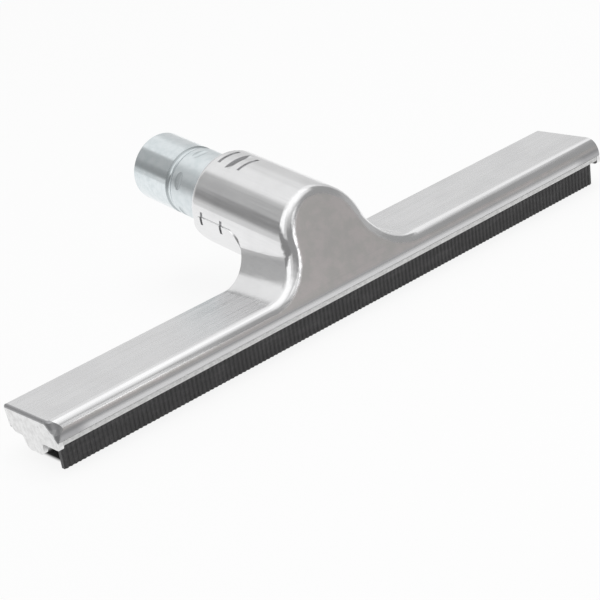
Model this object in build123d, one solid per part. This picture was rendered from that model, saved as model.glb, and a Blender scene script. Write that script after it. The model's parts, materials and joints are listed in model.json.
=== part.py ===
from build123d import *
from math import cos, radians, sin, tan
import os

# Wet pick-up squeegee head: a cast aluminium bar and neck with a steel connector tube and two
# rubber blades. Millimetres. +X runs along the bar, +Y to the rear, +Z up. The origin is on the
# floor under the middle of the whole part, and the blade tips stand on z = 0.
# Places in the bar's section are given as forward of the top's rear edge, and below the flat top.
# Places on the neck and tube are given along their axis, to the rear of the top's rear edge.

# Head bar
bar_length = 356.0
top_height = 26.5
top_depth = 43.5
front_lean = 20.0
front_rounding = 7.0
front_knee = 6.2
front_knee_rounding = 9.0
front_strip_height = 9.5
front_foot_rounding = 0.15
front_wall = 2.4
rear_overhang = 3.5
rear_rounding = 3.5
rear_wall_height = 12.0
rear_foot_rounding = 2.5
wall_thickness = 3.0
roof_thickness = 4.0
seat_depth = 5.5
channel_rear = 13.5
channel_front = 29.5
end_edge_break = 2.0
front_corner_top = 9.0
front_corner_foot = 0.5
front_corner_depth = 10.0
rear_corner_rounding = 2.5

# Shoulder that spreads the neck into the bar
shoulder_foot = 30.0
shoulder_lean = 15.0
shoulder_height = 21.0
shoulder_flank_radius = 24.0
shoulder_rear = 0.2
shoulder_rear_lean = 25.0
crease_rounding = 8.0

# Neck, its axis and the suction duct inside it
neck_tilt = 9.23
neck_radius = 25.7
neck_axis_rise = 19.8
neck_length = 50.4
neck_rim_rounding = 5.0
duct_radius = 17.5
duct_front = -24.0
port_half_width = 15.0
port_rise = 8.0
port_margin = 1.0

# Marks pressed into the neck
top_slots = ((42.1, 2.0, 14.0), (33.1, 4.0, 17.0), (25.6, 2.0, 14.0))
side_slots = ((38.8, 2.0, 7.2), (21.8, 2.0, 7.2))
side_slot_angle = 89.0
slot_depth = 1.5
pad_angle = 106.0
pad_rear = 47.0
pad_front = 7.5
pad_width = 17.0
pad_height = 0.6

# Connector tube
tube_radius = 19.05
tube_wall = 1.2
tube_front = 16.0
tube_end = 111.1
tube_end_rounding = 0.5
groove_place = 78.3
groove_width = 5.0
groove_depth = 0.9
dimple_place = 70.0
dimple_count = 6
dimple_tool_radius = 6.0
dimple_depth = 0.7
fit_gap = 0.02

# Seal ring and set screws of the tube
seal_place = 20.0
seal_wire_radius = 1.4
seal_gap = 0.05
set_screw_places = (31.0, 41.0)
set_screw_radius = 3.0
set_screw_length = 5.5
set_screw_key_radius = 1.7
set_screw_key_depth = 2.5
screw_gap = 0.02

# Blade carriers
carrier_bottom = 12.0
carrier_gap = 0.2
lip_gap = 0.05
lip_top_rounding = 0.15
lip_bottom_rounding = 0.6
carrier_end_gap = 0.1

# Rubber blades
front_bead_forward = 39.7
rear_bead_forward = 4.3
bead_below = 9.2
bead_radius = 2.25
bead_clearance = 0.05
blade_rake = 11.0
blade_thickness = 2.5
blade_swing = 12.0
swing_clearance = 0.2
blade_neck = 4.3
blade_reach = 19.0
front_blade_length = 350.4
rear_blade_length = 336.0
rib_pitch = 2.5
rib_width = 1.6
rib_height = 0.5

# End plates
end_plate_thickness = 2.5
end_plate_gap = 0.05
end_plate_bottom = 14.0
end_plate_rounding = 2.5
end_plate_rear_rounding = 4.5
lobe_bottom = 20.8
lobe_rear = 9.5
lobe_front = 28.5
lobe_rounding = 4.0
lobe_taper = 2.0
lobe_crook_rounding = 1.0
tab_length = 14.0
tab_thickness = 4.0

# Countersunk screws that hold the carriers and end plates from below
screw_radius = 1.5
screw_head_radius = 3.0
screw_key_radius = 1.15
screw_key_depth = 1.3
carrier_screw_forward = 33.1
carrier_screw_places = (-150.0, -90.0, -30.0, 30.0, 90.0, 150.0)
carrier_screw_tip = 2.2
end_screw_tip = 1.2

# Derived sizes
half_length = bar_length / 2
lean_step = tan(radians(front_lean))
front_reach = top_depth + front_knee * lean_step
rear_reach = tube_end * cos(radians(neck_tilt)) + tube_radius * sin(radians(neck_tilt))
rear_edge_y = (front_reach - rear_reach) / 2
section_middle = (channel_rear + channel_front) / 2
rear_inner = wall_thickness - rear_overhang
front_inner = front_reach - front_wall
lip_top = front_strip_height + lip_gap
plate_inner = half_length - end_plate_thickness
carrier_half = plate_inner - carrier_end_gap
shoulder_top = shoulder_foot - shoulder_height * tan(radians(shoulder_lean))
beyond = 60.0


# Helpers


def section_point(forward, below):
    """A point of the bar's section, at mid length."""
    return Vector(0, rear_edge_y - forward, top_height - below)


def section_place(point):
    """How far forward and how far below a point lies in the bar's section."""
    return rear_edge_y - point.Y, top_height - point.Z


def along_bar(points, half, radii=0):
    """A solid with this section that runs along the bar for half a length each way."""
    outline = FilletPolyline([section_point(*p) for p in points], radius=radii, close=True)
    return extrude(make_face(outline), amount=half, both=True, dir=(1, 0, 0))


def on_axis(place, angle=0.0, radius=0.0):
    """A location on the neck axis, turned from the top to the left and set out by a radius.

    Its x runs round the axis, its y along the axis to the rear, and its z away from the axis.
    """
    base = Location(section_point(0, -neck_axis_rise), (neck_tilt - 90, 0, 0))
    return base * Pos(0, 0, place) * Rot(0, 0, -angle) * Pos(0, -radius, 0) * Rot(90, 0, 0)


def axial_cylinder(radius, start, stop):
    """A cylinder on the neck axis between two places."""
    return on_axis((start + stop) / 2) * Rot(90, 0, 0) * Cylinder(radius, stop - start)


def axial_ring(major, minor, place):
    """A round ring about the neck axis."""
    return on_axis(place) * Rot(90, 0, 0) * Torus(major, minor)


def edge_points(edge):
    """The two ends and the middle of an edge."""
    return [edge @ share for share in (0, 0.5, 1)]


# Head casting


def under_space():
    """The room under the bar, inside its walls, for the carriers and the suction channel."""
    points = [
        (rear_inner, beyond),
        (rear_inner, seat_depth),
        (channel_rear, seat_depth),
        (channel_rear, roof_thickness),
        (channel_front, roof_thickness),
        (channel_front, seat_depth),
        (front_inner, seat_depth),
        (front_inner, front_strip_height),
        (2 * beyond, front_strip_height),
        (2 * beyond, beyond),
    ]
    return along_bar(points, half_length + 1)


def front_space():
    """Everything ahead of the leaning front face and its upright foot."""
    points = [
        (top_depth - beyond * lean_step, -beyond),
        (front_reach, front_knee),
        (front_reach, beyond),
        (3 * beyond, beyond),
        (3 * beyond, -beyond),
    ]
    return along_bar(points, half_length + 1, radii=[0, front_knee_rounding, 0, 0, 0])


def bar_block():
    """The bar before it is hollowed out, with its rear edges rounded."""
    points = [
        (-rear_overhang, 0),
        (2 * beyond, 0),
        (2 * beyond, rear_wall_height),
        (-rear_overhang, rear_wall_height),
    ]
    return along_bar(points, half_length, radii=[rear_rounding, 0, 0, rear_foot_rounding])


def shoulder_block():
    """Concave flanks from the bar's top up to the neck, with a rear edge that leans back."""
    side = [(2 * shoulder_foot, 0), (shoulder_foot, 0), (shoulder_top, shoulder_height)]
    other_side = [(-x, rise) for x, rise in reversed(side)]
    base = [(-2 * shoulder_foot, -roof_thickness), (2 * shoulder_foot, -roof_thickness)]
    radii = [0, shoulder_flank_radius, 0, 0, shoulder_flank_radius, 0, 0, 0]
    start = rear_edge_y + beyond
    points = [Vector(x, start, top_height + rise) for x, rise in side + other_side + base]
    outline = FilletPolyline(points, radius=radii, close=True)
    block = extrude(make_face(outline), amount=3 * beyond, dir=(0, -1, 0))
    rear_step = tan(radians(shoulder_rear_lean))
    behind = [
        (shoulder_rear, 0),
        (shoulder_rear - beyond * rear_step, -beyond),
        (-3 * beyond, -beyond),
        (-3 * beyond, beyond),
        (shoulder_rear, beyond),
    ]
    return block - along_bar(behind, half_length)


def from_front_face(point):
    """How far a point stands from the leaning front face."""
    forward, below = section_place(point)
    return abs(forward - top_depth - below * lean_step) * cos(radians(front_lean))


def front_edges(body):
    """The edges where the front face meets the top, the shoulder and the neck."""
    found = ShapeList()
    for edge in body.edges():
        points = edge_points(edge)
        on_face = max(from_front_face(point) for point in points) < 0.01
        if on_face and min(point.Z for point in points) > top_height - 0.01:
            found.append(edge)
    return found


def crease_edges(body):
    """The two curves where the shoulder's flanks meet the round neck."""
    found = ShapeList()
    for edge in body.edges().filter_by(GeomType.BSPLINE):
        ahead = from_front_face(edge @ 0.5) > 1
        if ahead and (edge @ 0.5).Z > top_height + shoulder_height / 2:
            found.append(edge)
    return found


def foot_edge(body):
    """The lower edge of the front's upright foot."""
    foot = section_point(front_reach, front_strip_height)
    return body.edges().filter_by(Axis.X).sort_by_distance(foot)[0]


def front_corner(below):
    """The radius of the bar's front corners at one height. They get sharper lower down."""
    share = min(below / front_corner_depth, 1)
    return front_corner_top + share * (front_corner_foot - front_corner_top)


def end_outline(below):
    """The bar seen from above at one height, with its four corners rounded."""
    front = top_depth + min(below, front_knee) * lean_step
    corners = [(-rear_overhang, -1), (front, -1), (front, 1), (-rear_overhang, 1)]
    points = [section_point(forward, below) + Vector(side * half_length, 0, 0) for forward, side in corners]
    radii = [rear_corner_rounding] + 2 * [front_corner(below)] + [rear_corner_rounding]
    return make_face(FilletPolyline(points, radius=radii, close=True))


def end_trim():
    """What is rounded off at the bar's two ends."""
    form = loft([end_outline(below) for below in (0, front_knee, front_corner_depth, beyond)], ruled=True)
    form = fillet(form.faces().sort_by(Axis.Z)[-1].edges(), end_edge_break)
    block = Box(2 * front_corner_top, 6 * beyond, 4 * beyond)
    return [Pos(side * half_length, 0, 0) * block - form for side in (-1, 1)]


def neck_pad(angle):
    """A low raised pad with round ends on the side of the neck."""
    length = pad_rear - pad_front
    middle = (pad_rear + pad_front) / 2
    inside = neck_radius / 2
    block = extrude(SlotOverall(length, pad_width, rotation=90), amount=neck_radius)
    block = on_axis(middle, angle, inside) * block
    return block & axial_cylinder(neck_radius + pad_height, pad_front, pad_rear)


def neck_slots():
    """The short slots across the top of the neck and on its sides."""
    cuts = [(0, slot) for slot in top_slots]
    for angle in (side_slot_angle, -side_slot_angle):
        cuts += [(angle, slot) for slot in side_slots]
    tools = []
    for angle, (place, width, length) in cuts:
        tool = Box(length, width, neck_radius, align=(Align.CENTER, Align.CENTER, Align.MIN))
        tools.append(on_axis(place, angle, neck_radius - slot_depth) * tool)
    return tools


def suction_ways():
    """The round duct in the neck, the tube's socket, the seal groove and the port below."""
    socket_radius = tube_radius + fit_gap
    groove_half = seal_wire_radius + seal_gap
    groove_radius = socket_radius + 2 * groove_half
    port = [
        (channel_rear + port_margin, -port_rise),
        (channel_front - port_margin, -port_rise),
        (channel_front - port_margin, roof_thickness + port_margin),
        (channel_rear + port_margin, roof_thickness + port_margin),
    ]
    return [
        axial_cylinder(duct_radius, duct_front, tube_front + 1),
        axial_cylinder(socket_radius, tube_front, neck_length + 1),
        axial_cylinder(groove_radius, seal_place - groove_half, seal_place + groove_half),
        along_bar(port, port_half_width),
    ]


def head_casting():
    """The bar, shoulder, bell face and neck in one casting."""
    body = bar_block() + shoulder_block() + axial_cylinder(neck_radius, -2 * beyond, neck_length)
    body = body - front_space() - under_space()
    body = fillet(crease_edges(body), crease_rounding)
    body = fillet(front_edges(body), front_rounding)
    body = fillet(foot_edge(body), front_foot_rounding)
    body = body - end_trim()
    rim = body.edges().filter_by(GeomType.CIRCLE).sort_by(Axis.Y)[-1]
    body = fillet(rim, neck_rim_rounding)
    body = body + neck_pad(pad_angle) + neck_pad(-pad_angle)
    body = body - neck_slots() - suction_ways()
    holes = carrier_screws(False, screw_gap) + carrier_screws(True, screw_gap)
    return body - holes - end_plate_screws(screw_gap) - tube_set_screws(screw_gap)


# Connector tube and what holds it


def connector_tube():
    """Plated steel tube with a rolled stop groove and a ring of pressed dimples."""
    bore = tube_radius - tube_wall
    roll_radius = (groove_width**2 / 4 + groove_depth**2) / (2 * groove_depth)
    roll_centre = tube_radius + roll_radius - groove_depth
    tube = axial_cylinder(tube_radius, tube_front, tube_end)
    tube = fillet(tube.edges().filter_by(GeomType.CIRCLE), tube_end_rounding)
    tube = tube - axial_cylinder(bore, tube_front - 1, tube_end + 1)
    bead = axial_ring(roll_centre, roll_radius + tube_wall, groove_place)
    bead = bead & axial_cylinder(bore + tube_wall / 2, groove_place - beyond, groove_place + beyond)
    tube = tube + bead - axial_ring(roll_centre, roll_radius, groove_place)
    roller = Rot(0, 90, 0) * Cylinder(dimple_tool_radius, 2 * tube_radius)
    roller_out = tube_radius - dimple_depth + dimple_tool_radius
    angles = [index * 360 / dimple_count for index in range(dimple_count)]
    return tube - [on_axis(dimple_place, angle, roller_out) * roller for angle in angles]


def tube_seal_ring():
    """Rubber ring in the casting's groove, round the tube."""
    ring_radius = tube_radius + fit_gap + seal_gap + seal_wire_radius
    return axial_ring(ring_radius, seal_wire_radius, seal_place)


def tube_set_screws(gap=0.0):
    """Set screws under the neck. With a gap, the holes that they go in."""
    solids = []
    for place in set_screw_places:
        location = on_axis(place, 180, tube_radius + fit_gap)
        length = set_screw_length if gap == 0 else neck_radius
        low = (Align.CENTER, Align.CENTER, Align.MIN)
        screw = Cylinder(set_screw_radius + gap, length, align=low)
        if gap == 0:
            key = extrude(RegularPolygon(set_screw_key_radius, 6), amount=set_screw_key_depth)
            screw = screw - Pos(0, 0, set_screw_length - set_screw_key_depth) * key
        solids.append(location * screw)
    return solids


# Countersunk screws


def countersunk_screw(x, forward, head_below, tip_below, gap):
    """A screw driven up from below. With a gap, the hole that it goes in."""
    low = (Align.CENTER, Align.CENTER, Align.MIN)
    cone_height = screw_head_radius - screw_radius
    shank = Cylinder(screw_radius + gap, head_below - tip_below + gap, align=low)
    head = Cone(screw_head_radius + gap, screw_radius + gap, cone_height, align=low)
    screw = shank + head
    if gap == 0:
        screw = screw - extrude(RegularPolygon(screw_key_radius, 6), amount=screw_key_depth)
    return Pos(x, 0, 0) * Pos(*section_point(forward, head_below)) * screw


def carrier_screws(rear, gap=0.0):
    """The row of screws that holds one blade carrier."""
    forward = 2 * section_middle - carrier_screw_forward if rear else carrier_screw_forward
    return [
        countersunk_screw(x, forward, carrier_bottom, carrier_screw_tip, gap)
        for x in carrier_screw_places
    ]


def end_plate_screws(gap=0.0):
    """One screw through each end plate's tab."""
    x = plate_inner - tab_length / 2
    head_below = roof_thickness + tab_thickness
    return [
        countersunk_screw(side * x, section_middle, head_below, end_screw_tip, gap)
        for side in (-1, 1)
    ]


# Blade carriers and end plates


def blade_point(bead_forward, along, across):
    """A section point by its distance down a blade and ahead of the blade's middle."""
    rake = radians(blade_rake)
    forward = bead_forward - along * sin(rake) + across * cos(rake)
    return forward, bead_below + along * cos(rake) + across * sin(rake)


def half_width(along):
    """Half the width of the room that a swinging blade takes up this far below its bead."""
    return blade_thickness / 2 + along * tan(radians(blade_swing)) + swing_clearance


def keyhole(bead_forward):
    """The round slot that a blade's bead turns in, and the mouth that the blade swings in."""
    deep = carrier_bottom - seat_depth
    mouth = [
        blade_point(bead_forward, 0, -half_width(0)),
        blade_point(bead_forward, 0, half_width(0)),
        blade_point(bead_forward, deep, half_width(deep)),
        blade_point(bead_forward, deep, -half_width(deep)),
    ]
    turn = Pos(*section_point(bead_forward, bead_below)) * Rot(0, 90, 0)
    slot = turn * Cylinder(bead_radius + bead_clearance, bar_length)
    return [slot, along_bar(mouth, half_length)]


def front_blade_carrier():
    """Aluminium strip under the bar's front edge, with its lip showing below the casting."""
    points = [
        (channel_front, seat_depth),
        (front_inner - carrier_gap, seat_depth),
        (front_inner - carrier_gap, lip_top),
        (front_reach, lip_top),
        (front_reach, carrier_bottom),
        (channel_front, carrier_bottom),
    ]
    radii = [0, 0, 0, lip_top_rounding, lip_bottom_rounding, 0]
    strip = along_bar(points, carrier_half, radii)
    return strip - keyhole(front_bead_forward) - carrier_screws(False, screw_gap)


def rear_blade_carrier():
    """Aluminium strip inside the bar's rear wall."""
    points = [
        (channel_rear, seat_depth),
        (channel_rear, carrier_bottom),
        (rear_inner + carrier_gap, carrier_bottom),
        (rear_inner + carrier_gap, seat_depth),
    ]
    strip = along_bar(points, carrier_half)
    return strip - keyhole(rear_bead_forward) - carrier_screws(True, screw_gap)


def end_plate(side):
    """The plate that closes one end of the bar, with its lobe between the blades and its tab."""
    rear = rear_inner + end_plate_gap
    front = front_inner - end_plate_gap
    points = [
        (rear, seat_depth),
        (front, seat_depth),
        (front, lip_top),
        (front_reach, lip_top),
        (front_reach, end_plate_bottom),
        (lobe_front, end_plate_bottom),
        (lobe_front - lobe_taper, lobe_bottom),
        (lobe_rear + lobe_taper, lobe_bottom),
        (lobe_rear, end_plate_bottom),
        (rear, end_plate_bottom),
    ]
    front_radii = [0, 0, 0, lip_top_rounding, end_plate_rounding, lobe_crook_rounding]
    rear_radii = [lobe_rounding, lobe_rounding, lobe_crook_rounding, end_plate_rear_rounding]
    plate_half = end_plate_thickness / 2
    plate = along_bar(points, plate_half, front_radii + rear_radii)
    plate = Pos(side * (half_length - plate_half), 0, 0) * plate
    tab_points = [
        (channel_rear + carrier_gap, roof_thickness),
        (channel_front - carrier_gap, roof_thickness),
        (channel_front - carrier_gap, roof_thickness + tab_thickness),
        (channel_rear + carrier_gap, roof_thickness + tab_thickness),
    ]
    tab_half = (tab_length + end_plate_thickness) / 2
    tab = Pos(side * (half_length - tab_half), 0, 0) * along_bar(tab_points, tab_half)
    return plate + tab - end_plate_screws(screw_gap) - end_trim()


# Rubber blades


def ribbed_outline(length):
    """A strip seen end on, with round ribs all along its front."""
    back = blade_thickness / 2
    ribs = int(length / rib_pitch)
    margin = (length - (ribs - 1) * rib_pitch - rib_width) / 2
    edges = []
    x = -length / 2
    for index in range(ribs):
        start = -length / 2 + margin + index * rib_pitch
        crown = (start + rib_width / 2, -back - rib_height)
        edges.append(Line((x, -back), (start, -back)))
        edges.append(ThreePointArc((start, -back), crown, (start + rib_width, -back)))
        x = start + rib_width
    end = length / 2
    edges.append(Polyline((x, -back), (end, -back), (end, back), (-end, back), (-end, -back)))
    return make_face(Curve() + edges)


def blade(length, bead_forward, ribs_turn):
    """A blade with its bead, made upright with its ribs ahead, then turned and raked to the floor."""
    bead_length = 2 * carrier_half
    bead = Rot(0, 90, 0) * Cylinder(bead_radius, bead_length)
    high = (Align.CENTER, Align.CENTER, Align.MAX)
    stem = Box(bead_length, blade_thickness, blade_neck + 1, align=high)
    lip = Pos(0, 0, -blade_neck) * extrude(ribbed_outline(length), amount=-blade_reach + blade_neck)
    upright = Rot(0, 0, ribs_turn) * (bead + stem + lip)
    raked = Pos(*section_point(bead_forward, bead_below)) * Rot(blade_rake, 0, 0) * upright
    floor = Pos(0, rear_edge_y, 0) * Box(2 * bar_length, 4 * beyond, beyond, align=high)
    return raked - floor


# Write every node

nodes = {
    "head_casting": head_casting(),
    "connector_tube": connector_tube(),
    "tube_seal_ring": tube_seal_ring(),
    "tube_set_screws": Compound(children=tube_set_screws()),
    "front_blade_carrier": front_blade_carrier(),
    "rear_blade_carrier": rear_blade_carrier(),
    "front_carrier_screws": Compound(children=carrier_screws(False)),
    "rear_carrier_screws": Compound(children=carrier_screws(True)),
    "left_end_plate": end_plate(-1),
    "right_end_plate": end_plate(1),
    "end_plate_screws": Compound(children=end_plate_screws()),
    "front_blade": blade(front_blade_length, front_bead_forward, ribs_turn=0),
    "rear_blade": blade(rear_blade_length, rear_bead_forward, ribs_turn=180),
}
os.makedirs("parts", exist_ok=True)
for node, shape in nodes.items():
    export_step(shape, f"parts/{node}.step")
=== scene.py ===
import json
import math

import bpy
from bpy.props import FloatProperty, FloatVectorProperty, PointerProperty
from mathutils import Matrix, Vector


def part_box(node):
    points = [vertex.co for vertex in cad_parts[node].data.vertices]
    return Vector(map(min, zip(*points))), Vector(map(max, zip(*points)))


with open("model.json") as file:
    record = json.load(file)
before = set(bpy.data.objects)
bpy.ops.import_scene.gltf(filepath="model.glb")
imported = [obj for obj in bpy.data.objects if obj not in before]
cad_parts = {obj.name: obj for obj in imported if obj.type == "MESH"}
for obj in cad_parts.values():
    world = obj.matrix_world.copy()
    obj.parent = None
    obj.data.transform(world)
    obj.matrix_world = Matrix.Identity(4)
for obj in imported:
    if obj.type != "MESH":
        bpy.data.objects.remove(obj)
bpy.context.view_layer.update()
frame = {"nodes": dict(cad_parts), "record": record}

bl_info = {
    "name": "Wet pick-up squeegee finishes",
    "version": (1, 0, 0),
    "blender": (4, 5, 0),
    "location": "3D View > Sidebar > Squeegee",
    "description": "Gives a cast squeegee head its metal, plated and rubber finishes, and sets its studio",
    "category": "Object",
}

MILLIMETRE = 0.001

# Places read from the frame
WAND_SOCKET = next(mount for mount in frame["record"]["mounts"] if mount["name"] == "wand_socket")
TUBE_AXIS = Vector(WAND_SOCKET["axis"]).normalized()
TUBE_POINT = Vector(WAND_SOCKET["pos_m"])
TUBE_TILT = math.atan2(TUBE_AXIS.z, TUBE_AXIS.y)
TUBE_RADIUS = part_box("connector_tube")[1].x
BAR_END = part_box("head_casting")[1].x
LIP_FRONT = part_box("front_blade_carrier")[0].y
CARRIER_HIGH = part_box("rear_blade_carrier")[1]
FRONT_BLADE = sum(corner.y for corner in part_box("front_blade")) / 2
REAR_BLADE = sum(corner.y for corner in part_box("rear_blade")) / 2

# Where the casting's finish changes
TOP_HEIGHT = CARRIER_HIGH.z + 5.5 * MILLIMETRE
ROOF_HEIGHT = TOP_HEIGHT - 3.9 * MILLIMETRE
CHANNEL_FRONT = LIP_FRONT + 1.8 * MILLIMETRE
CHANNEL_REAR = CARRIER_HIGH.y + 0.3 * MILLIMETRE
DUCT_RADIUS = TUBE_RADIUS + 0.25 * MILLIMETRE
NECK_LOW = TOP_HEIGHT + 1.0 * MILLIMETRE
NECK_HIGH = TOP_HEIGHT + 5.0 * MILLIMETRE
END_SKIN = 0.03 * MILLIMETRE

# Places along the tube's axis, from the middle of the wand's socket to the rear
DUCT_FRONT = -121.0 * MILLIMETRE
PRESSED_EDGE = -17.0 * MILLIMETRE
PRESSED_FADE = 4.0 * MILLIMETRE

# Belt lines: run, band width and band run in widths of one line, and band depth in depths of one line
LINE_RUN = 100.0
BAND_WIDTH = 4.0
BAND_RUN = 160.0
BAND_DEPTH = 3.0

# Lines left by drawing the tube and the carriers
DRAWN_WIDTH = 1.2 * MILLIMETRE
DRAWN_RUN = 60.0 * MILLIMETRE
MILL_WIDTH = 0.5 * MILLIMETRE
MILL_RUN = 40.0 * MILLIMETRE

# Axes that lines run along: x on the bar, and z in the tube's own coordinates
BAR_WAY = 0
TUBE_WAY = 2

# Noise: cells to the metre, or to a stretched unit in streaks, then detail and roughness
STREAKS = (1.0, 2.0, 0.55)
CLOUDS = (45.0, 3.0, 0.55)
PATCHES = (130.0, 3.0, 0.6)
BLOOM = (260.0, 4.0, 0.6)
MOTTLE = (320.0, 4.0, 0.6)
NICKS = (700.0, 4.0, 0.7)
GRAIN = (900.0, 3.0, 0.65)
SPECKLE = (1400.0, 2.0, 0.6)
FINE_MOTTLE = (1500.0, 2.0, 0.6)
FINE_RUBBER = (2600.0, 2.0, 0.6)
BLOOM_STRETCH = (0.25, 1.0, 1.0)
FINE_MOTTLE_SHARE = 0.4

# Levels of the noise between which each kind of mark comes in
CLOUD_LEVELS = (0.35, 0.75)
LINE_LEVELS = (0.52, 0.75)
BAND_LEVELS = (0.35, 0.65)
PATCH_LEVELS = (0.35, 0.65)
MOTTLE_LEVELS = (0.35, 0.7)
SPANGLE_LEVELS = (0.3, 0.75)
SPECKLE_LEVELS = (0.62, 0.78)
NICK_LEVELS = (0.35, 0.7)
BLOOM_LEVELS = (0.4, 0.75)

# Cosines between which a surface comes to count as turned one way
FRONT_TURN = (0.985, 0.998)
FOOT_TURN = (0.95, 0.99)
TOP_TURN = (0.990, 0.999)
FILED_TURN = (0.12, 0.40)
WORKED_TURN = (0.08, 0.40)

# Depths of relief
PIT_DEPTH = 0.1 * MILLIMETRE
PALE_DEPTH = 0.03 * MILLIMETRE
RUBBER_DEPTH = 0.02 * MILLIMETRE
MILL_DEPTH = 0.012 * MILLIMETRE
SPANGLE_DEPTH = 0.008 * MILLIMETRE
DRAWN_DEPTH = 0.004 * MILLIMETRE

# Floor, with painted shade on the stretch between the blades, and its grey card
FLOOR_REACH = 6.0
FLOOR_DROP = 0.2 * MILLIMETRE
SHADE_MARGIN = 5.0 * MILLIMETRE
SHADE_INSET = 6.5 * MILLIMETRE
SHADE_EDGE = 2.5 * MILLIMETRE
CARD_EDGE = 90.0 * MILLIMETRE

# Camera, with its sensor in millimetres, and the lamp overhead
SENSOR_WIDTH = 36.0
NEAR_LIMIT = 0.01
LAMP_PLACE = (0.25, -0.35, 1.6)
LAMP_SIZE = 1.4

# Sky, in degrees: turn to the right of straight back, half width, low edge, high edge, softness; brightness
SKY_LEVEL = 0.70
SKY_FIELDS = (
    ("soft light at the back", 8.0, 24.0, 29.0, 62.0, 6.0, 0.90),
    ("softbox at the back right", 54.0, 18.0, 31.0, 62.0, 12.0, 0.98),
    ("softbox high at the left", -70.0, 25.0, 29.0, 70.0, 8.0, 1.15),
    ("card at the back left", -30.0, 16.0, 9.5, 47.0, 5.0, 0.46),
    ("card at the left", -91.0, 54.0, 9.5, 28.0, 6.0, 0.26),
    ("low card at the left", -100.0, 45.0, -12.0, 12.0, 6.0, 0.26),
    ("high card at the front", 180.0, 58.0, 40.0, 64.0, 12.0, 0.52),
    ("card at the front left", -158.0, 40.0, -20.0, 44.0, 12.0, 0.31),
    ("card at the front right", 120.0, 44.0, 5.0, 54.0, 9.0, 0.35),
    ("low card at the front", 128.0, 44.0, -20.0, 20.0, 6.0, 0.48),
    ("softbox high at the back right", 62.0, 28.0, 56.0, 110.0, 10.0, 1.20),
    ("softbox overhead", 0.0, 181.0, 64.0, 110.0, 30.0, 1.20),
)

# Small lights ahead of the object, which show in its polished front: place, width, height and brightness
FRONT_LIGHTS = (
    ("strip_light", (0.018, -0.368, 0.184), 0.11, 0.07, 1.15),
    ("dim_light", (0.010, -0.335, 0.300), 0.12, 0.12, 0.50),
)


def colour_prop(name, description, default):
    """A colour that a user can change."""
    return FloatVectorProperty(
        name=name, description=description, default=default, subtype="COLOR", size=3, min=0.0, max=1.0
    )


def share_prop(name, description, default):
    """A number from 0 to 1 that a user can change."""
    return FloatProperty(
        name=name, description=description, default=default, subtype="FACTOR", min=0.0, max=1.0
    )


def length_prop(name, description, default):
    """A length in metres that a user can change."""
    return FloatProperty(name=name, description=description, default=default, unit="LENGTH", min=0.0)


def angle_prop(name, description, default):
    """An angle that a user can change."""
    return FloatProperty(name=name, description=description, default=default, subtype="ANGLE")


class SQUEEGEE_PG_casting(bpy.types.PropertyGroup):
    """Finish of the cast head."""

    polished: colour_prop("Polished colour", "Colour of the polished aluminium", (0.86, 0.86, 0.865))
    sanded: colour_prop("Sanded colour", "Colour of the sanded flat front", (0.82, 0.77, 0.76))
    patch: colour_prop("Sanded patches", "Colour of the duller patches on the front", (0.74, 0.72, 0.70))
    cast: colour_prop("As-cast colour", "Colour inside, where nothing is polished", (0.55, 0.55, 0.56))
    # Painted shade: the edges at the ends are darkened to this colour.
    edge_shade_colour: colour_prop("Filed colour", "Colour of the filed edges at the ends", (0.44, 0.44, 0.45))
    foot_dull: share_prop("Foot dullness", "How far the foot goes towards the as-cast colour", 0.50)
    cloud_dull: share_prop("Cloud dullness", "How far dull clouds go towards the as-cast colour", 0.16)
    line_dull: share_prop("Line dullness", "How far belt lines go towards the as-cast colour", 0.20)
    polish: share_prop("Polish roughness", "Roughness of the polished faces", 0.16)
    top_haze: share_prop("Top haze", "How much rougher the flat top is", 0.12)
    top_calm: share_prop("Top calm", "How much of the belt's lines is left on the flat top", 0.35)
    sanding: share_prop("Sanded roughness", "Roughness of the flat front", 0.36)
    foot: share_prop("Foot roughness", "Roughness of the front's upright foot", 0.27)
    filed_and_shaded: share_prop("Filed roughness", "Roughness of the filed edges at the ends", 0.38)
    rough: share_prop("As-cast roughness", "Roughness inside, where nothing is polished", 0.55)
    filed_reach: length_prop("Filed reach", "How far in from each end the edges are filed", 0.0105)
    # Painted shade on the foot beside the edges at the ends: how far in it reaches and how dark it goes.
    foot_shade_reach: length_prop("Smudge reach", "How far in from each end the foot is dull", 0.020)
    foot_shade: share_prop("Smudge", "How dull the foot is beside the filed edges", 0.85)
    front_lean: angle_prop("Front lean", "How far the flat front leans back", math.radians(20.0))
    line_width: length_prop("Belt line width", "Width of one line left by the polishing belt", 0.0004)
    line_depth: length_prop("Belt line depth", "Depth of the lines left by the polishing belt", 0.000004)


class SQUEEGEE_PG_tube(bpy.types.PropertyGroup):
    """Finish of the connector tube and the screws."""

    plating: colour_prop("Plating colour", "Colour of the bright zinc plating", (0.80, 0.85, 0.87))
    dull: colour_prop("Dull colour", "Colour of the duller clouds in the plating", (0.72, 0.78, 0.80))
    speckle: share_prop("Speckle", "How far the fine speckle goes towards the dull colour", 0.25)
    # Painted shade in the rolled groove and the dimples: their colour is darkened to this share of the dull
    # colour.
    groove_shade: share_prop("Stain", "Brightness of the worked places, as a share of the dull colour", 0.75)
    roughness: share_prop("Roughness", "Roughness of the bright plating", 0.15)
    worked_and_shaded: share_prop("Worked roughness", "Roughness where the rolled groove and dimples dulled it", 0.45)
    pressed: share_prop("Pressed share", "How far the stretch ahead of the groove is as rough as that", 0.60)
    spangle: length_prop("Spangle size", "Size of the clouds in the plating", 0.004)


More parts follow.
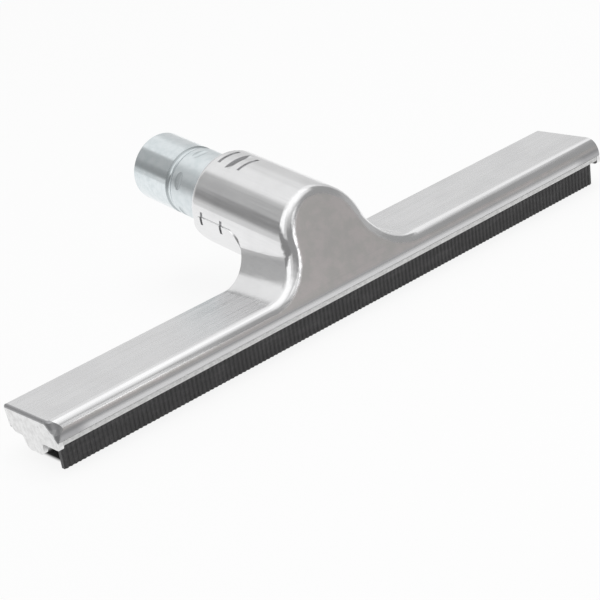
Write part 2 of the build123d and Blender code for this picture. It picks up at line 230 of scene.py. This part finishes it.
class SQUEEGEE_PG_plain(bpy.types.PropertyGroup):
    """Finish of the carriers and end plates."""

    mill: colour_prop("Mill colour", "Colour of the extruded carriers", (0.74, 0.74, 0.735))
    mill_dull: share_prop("Mill dullness", "Brightness left in the carriers' dull places", 0.80)
    pale: colour_prop("Pale colour", "Colour of the plain ends of the bar", (0.91, 0.91, 0.91))
    pale_dull: share_prop("Pale dullness", "Brightness left in the ends' dull places", 0.86)
    roughness: share_prop("Roughness", "Roughness of the extruded carriers", 0.42)
    pale_roughness: share_prop("Pale roughness", "Roughness of the plain ends of the bar", 0.42)


class SQUEEGEE_PG_rubber(bpy.types.PropertyGroup):
    """Finish of the blades and the seal ring."""

    black: colour_prop("Rubber colour", "Colour of the clean rubber", (0.034, 0.033, 0.034))
    bloom: colour_prop("Bloom colour", "Colour of the grey bloom on the rubber", (0.075, 0.073, 0.075))
    roughness: share_prop("Roughness", "Roughness of the rubber", 0.46)


class SQUEEGEE_PG_studio(bpy.types.PropertyGroup):
    """Camera, floor and light."""

    eye: FloatVectorProperty(
        name="Camera place", description="Where the camera stands", default=(-0.4972, -0.8249, 0.3694),
        subtype="TRANSLATION", unit="LENGTH", size=3,
    )
    heading: angle_prop("Heading", "How far to the right the camera turns", math.radians(31.93))
    pitch: angle_prop("Pitch", "How far the camera looks down", math.radians(21.46))
    roll: angle_prop("Roll", "How far the camera leans over", math.radians(15.02))
    lens: FloatProperty(
        name="Focal length", description="Focal length on a 36 mm sensor", default=115.3, unit="CAMERA",
        min=1.0,
    )
    floor: colour_prop("Floor colour", "Colour of the floor", (0.82, 0.82, 0.82))
    floor_glow: share_prop("Floor white", "How far the floor is lifted to white where it is seen", 0.88)
    card_gap: length_prop("Card gap", "How far ahead of the object a grey card lies on the floor", 0.075)
    side_gap: length_prop("Side card gap", "How far to the left of the object that card lies", 0.120)
    side_slant: length_prop("Side card slant", "How far ahead its slanting rear edge starts", 0.100)
    card_level: share_prop("Card brightness", "How bright that card shows in the metal", 0.34)
    # Painted shade on the floor between the blades
    channel_shade: share_prop("Channel shade", "How much darker the floor is between the blades", 0.90)
    lamp_power: FloatProperty(
        name="Lamp power", description="Power of the soft lamp overhead", default=9.0, subtype="POWER",
        min=0.0,
    )


class Nodes:
    """The nodes of a material or of the sky, with short ways to add and join them."""

    def __init__(self, tree):
        self.tree = tree
        tree.nodes.clear()

    def add(self, kind, **settings):
        """Add a node and set its settings."""
        node = self.tree.nodes.new(kind)
        for name, value in settings.items():
            setattr(node, name, value)
        return node

    def feed(self, socket, value):
        """Join an output to an input, or set the input to a plain value."""
        if isinstance(value, bpy.types.NodeSocket):
            self.tree.links.new(value, socket)
        else:
            socket.default_value = value

    def math(self, operation, first, second=0.0):
        """One step of arithmetic."""
        node = self.add("ShaderNodeMath", operation=operation)
        self.feed(node.inputs[0], first)
        self.feed(node.inputs[1], second)
        return node.outputs[0]

    def step(self, value, low, high, to_low=0.0, to_high=1.0):
        """Go smoothly from one number to another between two limits."""
        node = self.add("ShaderNodeMapRange", interpolation_type="SMOOTHSTEP")
        self.feed(node.inputs["Value"], value)
        self.feed(node.inputs["From Min"], low)
        self.feed(node.inputs["From Max"], high)
        self.feed(node.inputs["To Min"], to_low)
        self.feed(node.inputs["To Max"], to_high)
        return node.outputs["Result"]

    def edge(self, value, middle, softness):
        """Go smoothly from 0 to 1 across an edge. A softness below zero turns it round."""
        return self.step(value, middle - softness / 2, middle + softness / 2)

    def blend(self, share, first, second):
        """Mix two numbers."""
        node = self.add("ShaderNodeMix", data_type="FLOAT")
        self.feed(node.inputs["Factor"], share)
        self.feed(node.inputs["A"], first)
        self.feed(node.inputs["B"], second)
        return node.outputs["Result"]

    def blend_shaders(self, share, first, second):
        """Mix two shaders."""
        node = self.add("ShaderNodeMixShader")
        self.feed(node.inputs[0], share)
        self.feed(node.inputs[1], first)
        self.feed(node.inputs[2], second)
        return node.outputs["Shader"]

    def part(self, vector, letter):
        """One coordinate of a vector."""
        node = self.add("ShaderNodeSeparateXYZ")
        self.feed(node.inputs[0], vector)
        return node.outputs[letter]

    def along(self, vector, direction):
        """How far a vector goes along a fixed direction."""
        node = self.add("ShaderNodeVectorMath", operation="DOT_PRODUCT")
        self.feed(node.inputs[0], vector)
        self.feed(node.inputs[1], direction)
        return node.outputs["Value"]


def new_material(name):
    """A material with nodes."""
    material = bpy.data.materials.new(name)
    material.use_nodes = True
    return material


def darker(colour, share):
    """A colour at a share of its brightness."""
    return tuple(share * part for part in colour)


class Finish(Nodes):
    """A new material for the object, with its shader, textures and places."""

    def __init__(self, name, metallic):
        self.material = new_material(name)
        super().__init__(self.material.node_tree)
        self.shader = self.add("ShaderNodeBsdfPrincipled")
        self.set(metallic=metallic)
        output = self.add("ShaderNodeOutputMaterial")
        self.feed(output.inputs["Surface"], self.shader.outputs["BSDF"])
        coordinates = self.add("ShaderNodeTexCoord")
        self.place = coordinates.outputs["Object"]
        self.normal = coordinates.outputs["Normal"]

    def set(self, **values):
        """Set or join the shader's own sockets."""
        for name, value in values.items():
            self.feed(self.shader.inputs[name.replace("_", " ").title()], value)

    def put_on(self, *nodes):
        """Give this material to CAD nodes in place of their plain one."""
        for node in nodes:
            mesh = frame["nodes"][node].data
            mesh.materials.clear()
            mesh.materials.append(self.material)

    def blend_colour(self, share, first, second):
        """Mix two colours. A Mix node keeps its colours at inputs 6 and 7 and at output 2."""
        node = self.add("ShaderNodeMix", data_type="RGBA")
        self.feed(node.inputs[0], share)
        for socket, value in ((node.inputs[6], first), (node.inputs[7], second)):
            plain = not isinstance(value, bpy.types.NodeSocket)
            self.feed(socket, (*value, 1.0) if plain else value)
        return node.outputs[2]

    def vary(self, share, middle, less, more):
        """A number that goes from a little less to a little more than a middle one."""
        return self.blend(share, middle - less, middle + more)

    def facing(self, direction, low, high):
        """1 where the surface faces a direction and 0 where it doesn't, between two cosines."""
        return self.step(self.along(self.normal, direction), low, high)

    def stretched(self, vector, scale):
        """Coordinates stretched by a scale on each axis."""
        node = self.add("ShaderNodeMapping")
        self.feed(node.inputs["Vector"], vector)
        self.feed(node.inputs["Scale"], scale)
        return node.outputs["Vector"]

    def noise(self, vector, scale, detail=2.0, roughness=0.5):
        """Cloudy noise about a half."""
        node = self.add("ShaderNodeTexNoise")
        self.feed(node.inputs["Vector"], vector)
        self.feed(node.inputs["Scale"], scale)
        self.feed(node.inputs["Detail"], detail)
        self.feed(node.inputs["Roughness"], roughness)
        return node.outputs["Fac"]

    def streaks(self, vector, axis, width, length):
        """Noise drawn out into lines that run along one axis."""
        scale = [1.0 / width] * 3
        scale[axis] = 1.0 / length
        return self.noise(self.stretched(vector, scale), *STREAKS)

    def bump(self, height, depth, below=None):
        """Raise the surface by a height from 0 to 1, times a depth in metres."""
        node = self.add("ShaderNodeBump")
        self.feed(node.inputs["Strength"], 1.0)
        self.feed(node.inputs["Distance"], depth)
        self.feed(node.inputs["Height"], height)
        if below is not None:
            self.feed(node.inputs["Normal"], below)
        return node.outputs["Normal"]

    def tube_place(self):
        """Coordinates from the middle of the wand's socket, with z along the tube's axis to the rear."""
        node = self.add("ShaderNodeMapping", vector_type="TEXTURE")
        self.feed(node.inputs["Vector"], self.place)
        self.feed(node.inputs["Location"], TUBE_POINT)
        self.feed(node.inputs["Rotation"], (TUBE_TILT - math.pi / 2, 0.0, 0.0))
        return node.outputs["Vector"]

    def from_axis(self, tube_place):
        """Distance from the tube's axis."""
        node = self.add("ShaderNodeVectorMath", operation="LENGTH")
        self.feed(node.inputs[0], self.stretched(tube_place, (1.0, 1.0, 0.0)))
        return node.outputs["Value"]


def pale_surface(finish, props):
    """Colour, roughness and height of the softly mottled plain ends."""
    mottle = finish.noise(finish.place, *MOTTLE)
    fine = finish.noise(finish.place, *FINE_MOTTLE)
    dull = darker(props.pale, props.pale_dull)
    colour = finish.blend_colour(finish.step(mottle, *MOTTLE_LEVELS), props.pale, dull)
    roughness = finish.vary(mottle, props.pale_roughness, less=0.06, more=0.08)
    return colour, roughness, finish.blend(FINE_MOTTLE_SHARE, mottle, fine)


class CastingFinish(Finish):
    """Belt-polished aluminium with a sanded flat front, plain ends and as-cast insides."""

    def __init__(self, props, plain):
        super().__init__("polished_casting", metallic=1.0)
        self.props = props
        self.tube = self.tube_place()
        self.mark_faces()
        self.mark_ends()
        self.mark_insides()
        self.draw_textures()
        end_colour, end_roughness, end_height = pale_surface(self, plain)
        self.set(base_color=self.colour(end_colour))
        self.set(roughness=self.roughness(end_roughness))
        self.set(normal=self.relief(end_height))

    def mark_faces(self):
        """Find the flat front, its upright foot and the flat top."""
        lean = self.props.front_lean
        self.front = self.facing((0.0, -math.cos(lean), math.sin(lean)), *FRONT_TURN)
        self.foot = self.facing((0.0, -1.0, 0.0), *FOOT_TURN)
        self.top = self.facing((0.0, 0.0, 1.0), *TOP_TURN)

    def mark_ends(self):
        """Find the plain ends, the edges at the ends, rough from filing and painted dark as shade, and the
        foot beside them, also painted dark as shade.
        """
        across = self.math("ABSOLUTE", self.part(self.place, "X"))
        sideways = self.math("ABSOLUTE", self.part(self.normal, "X"))
        filed_from = BAR_END - self.props.filed_reach
        foot_shade_from = BAR_END - self.props.foot_shade_reach
        near_end = self.math("GREATER_THAN", across, filed_from)
        edges = self.math("MULTIPLY", near_end, self.step(sideways, *FILED_TURN))
        # Painted shade: the foot darkens towards each end, beside the edges.
        dull = self.step(across, foot_shade_from, filed_from, to_high=self.props.foot_shade)
        self.filed_and_shaded = self.math("MAXIMUM", edges, self.math("MULTIPLY", self.foot, dull))
        self.ends = self.math("GREATER_THAN", across, BAR_END - END_SKIN)

    def mark_insides(self):
        """Find the channel under the bar and the duct in the neck, without the plain ends."""
        depth = self.part(self.place, "Y")
        under = self.math("LESS_THAN", self.part(self.place, "Z"), ROOF_HEIGHT)
        ahead = self.math("GREATER_THAN", depth, CHANNEL_FRONT)
        behind = self.math("LESS_THAN", depth, CHANNEL_REAR)
        channel = self.math("MULTIPLY", under, self.math("MULTIPLY", ahead, behind))
        near_axis = self.math("LESS_THAN", self.from_axis(self.tube), DUCT_RADIUS)
        past_face = self.math("GREATER_THAN", self.part(self.tube, "Z"), DUCT_FRONT)
        inside = self.math("MAXIMUM", channel, self.math("MULTIPLY", near_axis, past_face))
        self.rough = self.math("SUBTRACT", inside, self.math("MULTIPLY", inside, self.ends))

    def belt_marks(self, width, length):
        """Marks of the polishing belt, which run along the bar and, above its top, along the neck."""
        on_neck = self.step(self.part(self.place, "Z"), NECK_LOW, NECK_HIGH)
        bar_marks = self.streaks(self.place, BAR_WAY, width, length)
        neck_marks = self.streaks(self.tube, TUBE_WAY, width, length)
        return self.blend(on_neck, bar_marks, neck_marks)

    def draw_textures(self):
        """Draw the belt's lines and broader bands, the sanding grain and the clouds."""
        width = self.props.line_width
        self.lines = self.belt_marks(width, LINE_RUN * width)
        self.bands = self.belt_marks(BAND_WIDTH * width, BAND_RUN * width)
        self.grain = self.noise(self.place, *GRAIN)
        self.clouds = self.noise(self.place, *CLOUDS)

    def colour(self, end_colour):
        """Bright metal with duller places, a sanded front, end edges and the foot beside them painted dark
        as shade, plain ends and cast insides.
        """
        props = self.props
        patches = self.step(self.noise(self.place, *PATCHES), *PATCH_LEVELS)
        sanded = self.blend_colour(patches, props.sanded, props.patch)
        metal = self.blend_colour(self.front, props.polished, sanded)
        foot = self.math("MULTIPLY", self.foot, props.foot_dull)
        clouds = self.step(self.clouds, *CLOUD_LEVELS, to_high=props.cloud_dull)
        lines = self.step(self.lines, *LINE_LEVELS, to_high=props.line_dull)
        for dull in (foot, clouds, lines):
            metal = self.blend_colour(dull, metal, props.cast)
        # Painted shade: the edges at the ends and the foot beside them are darkened towards the edge shade
        # colour.
        metal = self.blend_colour(self.filed_and_shaded, metal, props.edge_shade_colour)
        metal = self.blend_colour(self.ends, metal, end_colour)
        return self.blend_colour(self.rough, metal, props.cast)

    def roughness(self, end_roughness):
        """Smooth where it is polished, and rougher on the top, foot, front, edges, ends and insides."""
        props = self.props
        polish = self.vary(self.step(self.bands, *BAND_LEVELS), props.polish, less=0.04, more=0.05)
        polish = self.blend(self.top, polish, self.math("ADD", polish, props.top_haze))
        sanding = self.vary(self.grain, props.sanding, less=0.05, more=0.05)
        roughness = self.blend(self.front, self.blend(self.foot, polish, props.foot), sanding)
        roughness = self.blend(self.filed_and_shaded, roughness, props.filed_and_shaded)
        roughness = self.blend(self.ends, roughness, end_roughness)
        return self.blend(self.rough, roughness, props.rough)

    def relief(self, end_height):
        """Belt lines, calmer on the flat top, with sanding grain, pitted insides and mottled ends."""
        depth = self.props.line_depth
        calm = self.blend(self.top, 1.0, self.props.top_calm)
        bands = self.bump(self.math("MULTIPLY", self.bands, calm), BAND_DEPTH * depth)
        scratches = self.blend(self.front, self.math("MULTIPLY", self.lines, calm), self.grain)
        lines = self.bump(scratches, depth, bands)
        pits = self.math("MULTIPLY", self.rough, self.grain)
        mottle = self.math("MULTIPLY", end_height, PALE_DEPTH / PIT_DEPTH)
        mottle = self.math("MULTIPLY", self.ends, mottle)
        return self.bump(self.math("ADD", pits, mottle), PIT_DEPTH, lines)


def zinc_plating(props):
    """Bright zinc on drawn steel tube, with soft clouds, fine lines along the tube, and painted shade in the
    rolled groove and dimples.
    """
    finish = Finish("zinc_plating", metallic=1.0)
    tube = finish.tube_place()
    clouds = finish.noise(tube, 1.0 / props.spangle)
    cloudy = finish.step(clouds, *SPANGLE_LEVELS)
    speckle = finish.step(finish.noise(tube, *SPECKLE), *SPECKLE_LEVELS, to_high=props.speckle)
    slope = finish.math("ABSOLUTE", finish.along(finish.normal, TUBE_AXIS))
    worked_and_shaded = finish.step(slope, *WORKED_TURN)
    along_tube = finish.part(tube, "Z")
    pressed = finish.step(along_tube, PRESSED_EDGE - PRESSED_FADE, PRESSED_EDGE, props.pressed, 0.0)
    metal = finish.blend_colour(cloudy, props.plating, props.dull)
    metal = finish.blend_colour(speckle, metal, props.dull)
    # Painted shade: the groove's flanks and the dimples are darkened; they are also rougher, from the
    # rolling.
    finish.set(base_color=finish.blend_colour(worked_and_shaded, metal, darker(props.dull, props.groove_shade)))
    roughness = finish.vary(cloudy, props.roughness, less=0.02, more=0.05)
    finish.set(roughness=finish.blend(finish.math("MAXIMUM", worked_and_shaded, pressed), roughness, props.worked_and_shaded))
    drawn = finish.bump(finish.streaks(tube, TUBE_WAY, DRAWN_WIDTH, DRAWN_RUN), DRAWN_DEPTH)
    finish.set(normal=finish.bump(clouds, SPANGLE_DEPTH, drawn))
    return finish


def mill_aluminium(props):
    """Extruded aluminium with lines along its length and small nicks."""
    finish = Finish("mill_aluminium", metallic=1.0)
    lines = finish.streaks(finish.place, BAR_WAY, MILL_WIDTH, MILL_RUN)
    nicks = finish.noise(finish.place, *NICKS)
    dull = darker(props.mill, props.mill_dull)
    finish.set(base_color=finish.blend_colour(finish.step(nicks, *NICK_LEVELS), props.mill, dull))
    finish.set(roughness=finish.vary(nicks, props.roughness, less=0.08, more=0.08))
    finish.set(normal=finish.bump(finish.blend(0.5, lines, nicks), MILL_DEPTH))
    return finish


def pale_casting(props):
    """Unpolished end plates, softly mottled."""
    finish = Finish("pale_casting", metallic=1.0)
    colour, roughness, height = pale_surface(finish, props)
    finish.set(base_color=colour, roughness=roughness, normal=finish.bump(height, PALE_DEPTH))
    return finish


def black_rubber(props):
    """Matt moulded rubber with a faint grey bloom."""
    finish = Finish("black_rubber", metallic=0.0)
    bloom = finish.noise(finish.stretched(finish.place, BLOOM_STRETCH), *BLOOM)
    fine = finish.noise(finish.place, *FINE_RUBBER)
    finish.set(base_color=finish.blend_colour(finish.step(bloom, *BLOOM_LEVELS), props.black, props.bloom))
    finish.set(roughness=finish.vary(bloom, props.roughness, less=0.08, more=0.12))
    finish.set(normal=finish.bump(finish.blend(0.5, bloom, fine), RUBBER_DEPTH))
    return finish


class SQUEEGEE_OT_casting(bpy.types.Operator):
    """Polish the cast head and sand its flat front"""

    bl_idname = "squeegee.finish_casting"
    bl_label = "Finish casting"

    def execute(self, context):
        scene = context.scene
        CastingFinish(scene.squeegee_casting, scene.squeegee_plain).put_on("head_casting")
        return {"FINISHED"}


class SQUEEGEE_OT_tube(bpy.types.Operator):
    """Plate the connector tube and every screw"""

    bl_idname = "squeegee.finish_tube"
    bl_label = "Finish tube and screws"

    def execute(self, context):
        plating = zinc_plating(context.scene.squeegee_tube)
        screws = ("tube_set_screws", "front_carrier_screws", "rear_carrier_screws", "end_plate_screws")
        plating.put_on("connector_tube", *screws)
        return {"FINISHED"}


class SQUEEGEE_OT_carriers(bpy.types.Operator):
    """Give the blade carriers their mill finish"""

    bl_idname = "squeegee.finish_carriers"
    bl_label = "Finish carriers"

    def execute(self, context):
        mill_aluminium(context.scene.squeegee_plain).put_on("front_blade_carrier", "rear_blade_carrier")
        return {"FINISHED"}


class SQUEEGEE_OT_end_plates(bpy.types.Operator):
    """Give the end plates their pale cast finish"""

    bl_idname = "squeegee.finish_end_plates"
    bl_label = "Finish end plates"

    def execute(self, context):
        pale_casting(context.scene.squeegee_plain).put_on("left_end_plate", "right_end_plate")
        return {"FINISHED"}


class SQUEEGEE_OT_rubber(bpy.types.Operator):
    """Give the blades and the seal ring their rubber"""

    bl_idname = "squeegee.finish_rubber"
    bl_label = "Finish rubber"

    def execute(self, context):
        black_rubber(context.scene.squeegee_rubber).put_on("front_blade", "rear_blade", "tube_seal_ring")
        return {"FINISHED"}


class Sky(Nodes):
    """The sky's nodes."""

    def __init__(self, tree):
        super().__init__(tree)
        self.direction = self.add("ShaderNodeTexCoord").outputs["Generated"]
        self.height = self.math("DEGREES", self.math("ARCSINE", self.part(self.direction, "Z")))

    def field(self, turn, half_width, low, high, softness):
        """1 inside a field of the sky and 0 outside it, with soft edges."""
        turn = math.radians(turn)
        ahead = self.along(self.direction, (math.sin(turn), math.cos(turn), 0.0))
        right = self.along(self.direction, (math.cos(turn), -math.sin(turn), 0.0))
        aside = self.math("ABSOLUTE", self.math("DEGREES", self.math("ARCTAN2", right, ahead)))
        inside = self.edge(aside, half_width, -softness)
        inside = self.math("MULTIPLY", inside, self.edge(self.height, low, softness))
        return self.math("MULTIPLY", inside, self.edge(self.height, high, -softness))


def build_sky(scene):
    """White to the camera, and softboxes and grey cards to everything else."""
    scene.world = bpy.data.worlds.new("studio")
    scene.world.use_nodes = True
    sky = Sky(scene.world.node_tree)
    level = SKY_LEVEL
    for name, turn, half_width, low, high, softness, bright in SKY_FIELDS:
        level = sky.blend(sky.field(turn, half_width, low, high, softness), level, bright)
        level.node.label = name
    seen = sky.add("ShaderNodeLightPath").outputs["Is Camera Ray"]
    background = sky.add("ShaderNodeBackground")
    sky.feed(background.inputs["Color"], (1.0, 1.0, 1.0, 1.0))
    sky.feed(background.inputs["Strength"], sky.blend(seen, level, 1.0))
    output = sky.add("ShaderNodeOutputWorld")
    sky.feed(output.inputs["Surface"], background.outputs["Background"])


def floor_shade(nodes, place):
    """1 on the stretch of floor between the blades, which is painted dark as shade, and 0 on the open floor.
    """
    middle = (REAR_BLADE + FRONT_BLADE) / 2
    half_gap = (REAR_BLADE - FRONT_BLADE) / 2
    from_middle = nodes.math("ABSOLUTE", nodes.math("SUBTRACT", nodes.part(place, "Y"), middle))
    aside = nodes.math("ABSOLUTE", nodes.part(place, "X"))
    between = nodes.edge(from_middle, half_gap - SHADE_MARGIN, -2 * SHADE_MARGIN)
    return nodes.math("MULTIPLY", between, nodes.edge(aside, BAR_END - SHADE_INSET, -SHADE_EDGE))


def floor_card(nodes, place, props):
    """1 on the grey card that lies ahead of the object and round its left end, and 0 off it."""
    across = nodes.part(place, "X")
    depth = nodes.part(place, "Y")
    ahead = nodes.edge(depth, LIP_FRONT - props.card_gap, -CARD_EDGE)
    left = nodes.edge(across, -BAR_END - props.side_gap, -CARD_EDGE)
    slant = nodes.edge(nodes.math("ADD", across, depth), -props.side_slant, -CARD_EDGE)
    return nodes.math("MAXIMUM", ahead, nodes.math("MULTIPLY", left, slant))


def pale_floor(props):
    """Matt, lifted towards white where it is seen, painted dark as shade between the blades and clear from
    below.
    """
    material = new_material("pale_floor")
    nodes = Nodes(material.node_tree)
    place = nodes.add("ShaderNodeTexCoord").outputs["Object"]
    ray = nodes.add("ShaderNodeLightPath").outputs
    shade = floor_shade(nodes, place)

    # Painted shade: the floor's own colour is darkened between the blades.
    lightness = nodes.math("SUBTRACT", 1.0, nodes.math("MULTIPLY", shade, props.channel_shade))
    colour = nodes.add("ShaderNodeVectorMath", operation="SCALE")
    nodes.feed(colour.inputs[0], props.floor)
    nodes.feed(colour.inputs["Scale"], lightness)
    matt = nodes.add("ShaderNodeBsdfDiffuse")
    nodes.feed(matt.inputs["Color"], colour.outputs["Vector"])

    card = nodes.math("MULTIPLY", floor_card(nodes, place, props), ray["Is Glossy Ray"])
    glow = nodes.add("ShaderNodeEmission")
    nodes.feed(glow.inputs["Strength"], nodes.blend(card, 1.0, props.card_level))

    seen = nodes.math("MAXIMUM", ray["Is Camera Ray"], ray["Is Glossy Ray"])
    seen = nodes.math("MAXIMUM", seen, ray["Is Transmission Ray"])
    seen_open = nodes.math("MULTIPLY", seen, nodes.math("SUBTRACT", 1.0, shade))
    lift = nodes.math("MULTIPLY", seen_open, props.floor_glow)
    upper = nodes.blend_shaders(lift, matt.outputs["BSDF"], glow.outputs["Emission"])
    clear = nodes.add("ShaderNodeBsdfTransparent").outputs["BSDF"]
    from_below = nodes.add("ShaderNodeNewGeometry").outputs["Backfacing"]
    output = nodes.add("ShaderNodeOutputMaterial")
    nodes.feed(output.inputs["Surface"], nodes.blend_shaders(from_below, upper, clear))
    return material


def build_floor(scene, props):
    """A wide square floor, just under the blades."""
    side = FLOOR_REACH
    mesh = bpy.data.meshes.new("floor")
    corners = [(-side, -side, 0.0), (side, -side, 0.0), (side, side, 0.0), (-side, side, 0.0)]
    mesh.from_pydata(corners, [], [(0, 1, 2, 3)])
    mesh.materials.append(pale_floor(props))
    floor = bpy.data.objects.new("floor", mesh)
    floor.location.z = -FLOOR_DROP
    scene.collection.objects.link(floor)


def build_camera(scene, props):
    """The camera, from its heading, pitch and roll."""
    data = bpy.data.cameras.new("camera")
    data.lens = props.lens
    data.sensor_width = SENSOR_WIDTH
    data.clip_start = NEAR_LIMIT
    camera = bpy.data.objects.new("camera", data)
    turn = Matrix.Rotation(-props.heading, 4, "Z")
    tilt = Matrix.Rotation(math.pi / 2 - props.pitch, 4, "X")
    lean = Matrix.Rotation(-props.roll, 4, "Z")
    camera.matrix_world = Matrix.Translation(props.eye) @ turn @ tilt @ lean
    scene.collection.objects.link(camera)
    scene.camera = camera


def area_light(scene, name, place, shape, width, height, power):
    """A flat light that faces the floor under the middle of the object."""
    data = bpy.data.lights.new(name, "AREA")
    data.shape = shape
    data.size = width
    data.size_y = height
    data.energy = power
    light = bpy.data.objects.new(name, data)
    light.location = place
    light.rotation_euler = Vector(place).to_track_quat("Z", "Y").to_euler()
    scene.collection.objects.link(light)
    return light


def build_lights(scene, props):
    """One large soft lamp overhead, which doesn't show in the metal, and the small lights ahead."""
    lamp = area_light(scene, "soft_lamp", LAMP_PLACE, "DISK", LAMP_SIZE, LAMP_SIZE, props.lamp_power)
    lamp.visible_glossy = False
    for name, place, width, height, bright in FRONT_LIGHTS:
        area_light(scene, name, place, "RECTANGLE", width, height, bright * math.pi * width * height)


class SQUEEGEE_OT_studio(bpy.types.Operator):
    """Set the floor, the light and the camera"""

    bl_idname = "squeegee.set_studio"
    bl_label = "Set studio"

    def execute(self, context):
        scene = context.scene
        props = scene.squeegee_studio
        scene.view_settings.view_transform = "Standard"
        build_sky(scene)
        build_floor(scene, props)
        build_lights(scene, props)
        build_camera(scene, props)
        return {"FINISHED"}


OPERATORS = (
    SQUEEGEE_OT_casting,
    SQUEEGEE_OT_tube,
    SQUEEGEE_OT_carriers,
    SQUEEGEE_OT_end_plates,
    SQUEEGEE_OT_rubber,
    SQUEEGEE_OT_studio,
)
GROUPS = {
    "squeegee_casting": SQUEEGEE_PG_casting,
    "squeegee_tube": SQUEEGEE_PG_tube,
    "squeegee_plain": SQUEEGEE_PG_plain,
    "squeegee_rubber": SQUEEGEE_PG_rubber,
    "squeegee_studio": SQUEEGEE_PG_studio,
}


class SQUEEGEE_PT_panel(bpy.types.Panel):
    """Lists every piece's operator and settings"""

    bl_idname = "SQUEEGEE_PT_panel"
    bl_label = "Squeegee"
    bl_space_type = "VIEW_3D"
    bl_region_type = "UI"
    bl_category = "Squeegee"

    def draw(self, context):
        for operator in OPERATORS:
            self.layout.operator(operator.bl_idname)
        for name, group in GROUPS.items():
            box = self.layout.box()
            for prop in group.__annotations__:
                box.prop(getattr(context.scene, name), prop)


def register():
    """Add the settings, the operators and the panel."""
    for name, group in GROUPS.items():
        bpy.utils.register_class(group)
        setattr(bpy.types.Scene, name, PointerProperty(type=group))
    for item in (*OPERATORS, SQUEEGEE_PT_panel):
        bpy.utils.register_class(item)


def unregister():
    """Take them away again."""
    for item in reversed((*OPERATORS, SQUEEGEE_PT_panel)):
        bpy.utils.unregister_class(item)
    for name, group in GROUPS.items():
        delattr(bpy.types.Scene, name)
        bpy.utils.unregister_class(group)


def main():
    """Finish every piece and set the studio."""
    register()
    bpy.ops.squeegee.finish_casting()
    bpy.ops.squeegee.finish_tube()
    bpy.ops.squeegee.finish_carriers()
    bpy.ops.squeegee.finish_end_plates()
    bpy.ops.squeegee.finish_rubber()
    bpy.ops.squeegee.set_studio()


if __name__ == "__main__":
    main()
